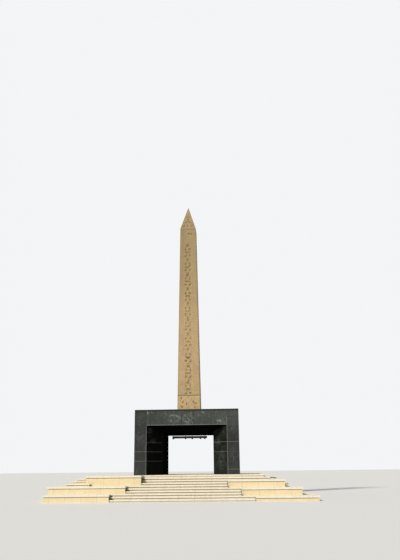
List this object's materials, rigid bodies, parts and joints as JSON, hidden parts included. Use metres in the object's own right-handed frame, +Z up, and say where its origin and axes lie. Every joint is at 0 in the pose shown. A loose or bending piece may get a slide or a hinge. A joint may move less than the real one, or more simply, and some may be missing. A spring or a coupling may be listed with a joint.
{
  "type": "obelisk",
  "caption": "Tapering stone obelisk standing on a dark granite portal with a walk-through passage, set on a stepped square podium.",
  "frame": {"origin": "centre of the podium's footprint, on the ground", "axes": "+Z up; +Y runs away from the pictured front, along the passage; +X to the right as seen from the front"},
  "size_m": [16.35, 16.12, 21.735],
  "materials": {
    "obelisk_stone": "matte",
    "portal_granite": "polished",
    "tread_stone": "matte",
    "riser_stone": "matte",
    "bar_metal": "satin"
  },
  "bodies": {
    "root": {"block_back_left_lower": "riser_stone", "block_back_left_middle": "riser_stone", "block_back_left_upper": "riser_stone", "block_back_right_lower": "riser_stone", "block_back_right_middle": "riser_stone", "block_back_right_upper": "riser_stone", "block_front_left_lower": "riser_stone", "block_front_left_middle": "riser_stone", "block_front_left_upper": "riser_stone", "block_front_right_lower": "riser_stone", "block_front_right_middle": "riser_stone", "block_front_right_upper": "riser_stone", "ceiling": "portal_granite", "copings_back_left": "tread_stone", "copings_back_right": "tread_stone", "copings_front_left": "tread_stone", "copings_front_right": "tread_stone", "corner_pier_back_left": "portal_granite", "corner_pier_back_right": "portal_granite", "corner_pier_front_left": "portal_granite", "corner_pier_front_right": "portal_granite", "corner_steps_left": "riser_stone", "corner_treads_left": "tread_stone", "flight_back": "riser_stone", "flight_front": "riser_stone", "flight_left": "riser_stone", "flight_right": "riser_stone", "light_bar": "bar_metal", "light_bar_lamps": "bar_metal", "light_bar_rods": "bar_metal", "lintel_back": "portal_granite", "lintel_front": "portal_granite", "obelisk_foot": "obelisk_stone", "obelisk_shaft": "obelisk_stone", "obelisk_tip": "obelisk_stone", "passage_wall_left": "portal_granite", "passage_wall_right": "portal_granite", "platform_core": "riser_stone", "platform_paving": "tread_stone", "reveal_back_left": "portal_granite", "reveal_back_right": "portal_granite", "reveal_back_top": "portal_granite", "reveal_front_left": "portal_granite", "reveal_front_right": "portal_granite", "reveal_front_top": "portal_granite", "roof_slab": "portal_granite", "side_wall_left": "portal_granite", "side_wall_right": "portal_granite", "treads_back": "tread_stone", "treads_front": "tread_stone", "treads_left": "tread_stone", "treads_right": "tread_stone"}
  },
  "joints": []
}
